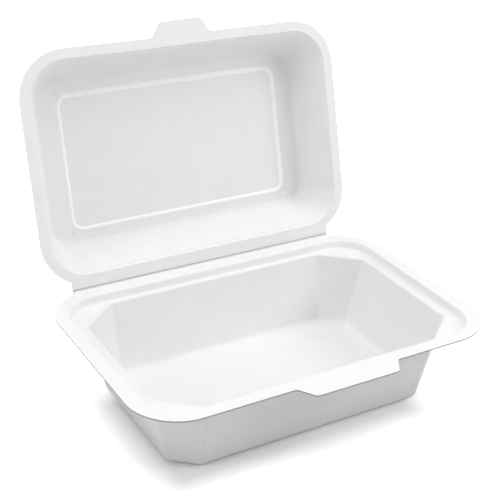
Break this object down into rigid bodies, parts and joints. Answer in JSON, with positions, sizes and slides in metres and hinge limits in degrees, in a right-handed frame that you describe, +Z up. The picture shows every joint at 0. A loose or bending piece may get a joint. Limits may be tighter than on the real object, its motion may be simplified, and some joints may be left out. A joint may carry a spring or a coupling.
{
  "type": "moulded pulp clamshell lunch box",
  "caption": "Hinged rectangular lunch box moulded from cane pulp: deep tray with a stepped rim and cut corners, shallow lid with a closing tab, standing open.",
  "frame": {"origin": "middle of the tray's flat underside, on the surface it stands on", "axes": "+X to the right along the fold, -Y to the front where the lip and tab are, +Y to the back where the fold is, +Z up"},
  "size_m": [0.23, 0.2227, 0.1989],
  "materials": {
    "tray_pulp": "white moulded cane pulp, smooth and matt on the inside, finely textured outside",
    "lid_pulp": "white moulded cane pulp, smooth and matt on the inside, finely textured outside"
  },
  "bodies": {
    "tray": {"tray": "tray_pulp"},
    "lid": {"lid": "lid_pulp"}
  },
  "joints": [
    {"name": "fold", "type": "hinge", "parent": "tray", "child": "lid", "pos_m": [0, 0.077, 0.05115], "axis": [-1, 0, 0], "range_deg": [-106, 74]}
  ]
}
